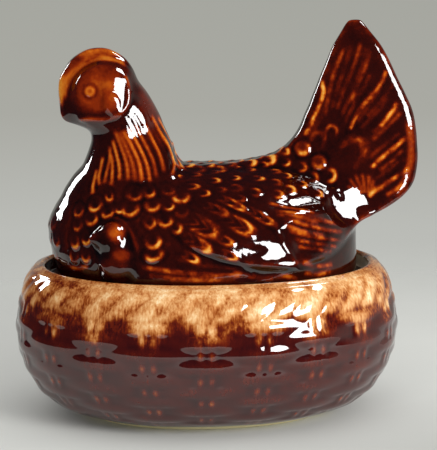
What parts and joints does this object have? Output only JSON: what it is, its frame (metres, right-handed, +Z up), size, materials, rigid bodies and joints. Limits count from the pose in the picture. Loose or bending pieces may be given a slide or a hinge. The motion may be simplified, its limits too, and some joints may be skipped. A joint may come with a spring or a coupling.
{
  "type": "hen on nest dish",
  "caption": "Covered stoneware dish: an oval nest dish with an inner seat, and a lift-off lid in the shape of a sitting hen with a chick, under a glossy brown glaze.",
  "frame": {"origin": "middle of the whole object's footprint, on the surface that the foot ring stands on; the tail overhangs the dish, so the dish's own middle is 7.85 mm towards -X", "axes": "+Z up, -X towards the hen's beak, +X towards her tail, the chick on the -Y side"},
  "size_m": [0.2958, 0.208, 0.287],
  "materials": {
    "dish_glaze": "glossy dark brown glaze with a foamy tan and cream run below the rim, bare cream stoneware on the foot ring",
    "hen_glaze": "glossy dark brown glaze that breaks to amber on raised edges"
  },
  "bodies": {
    "dish": {"nest_dish": "dish_glaze"},
    "lid": {"hen_lid": "hen_glaze"}
  },
  "joints": [
    {"name": "lid_lift", "type": "slide", "parent": "dish", "child": "lid", "axis": [0, 0, 1], "range_m": [0, 0.13]}
  ]
}
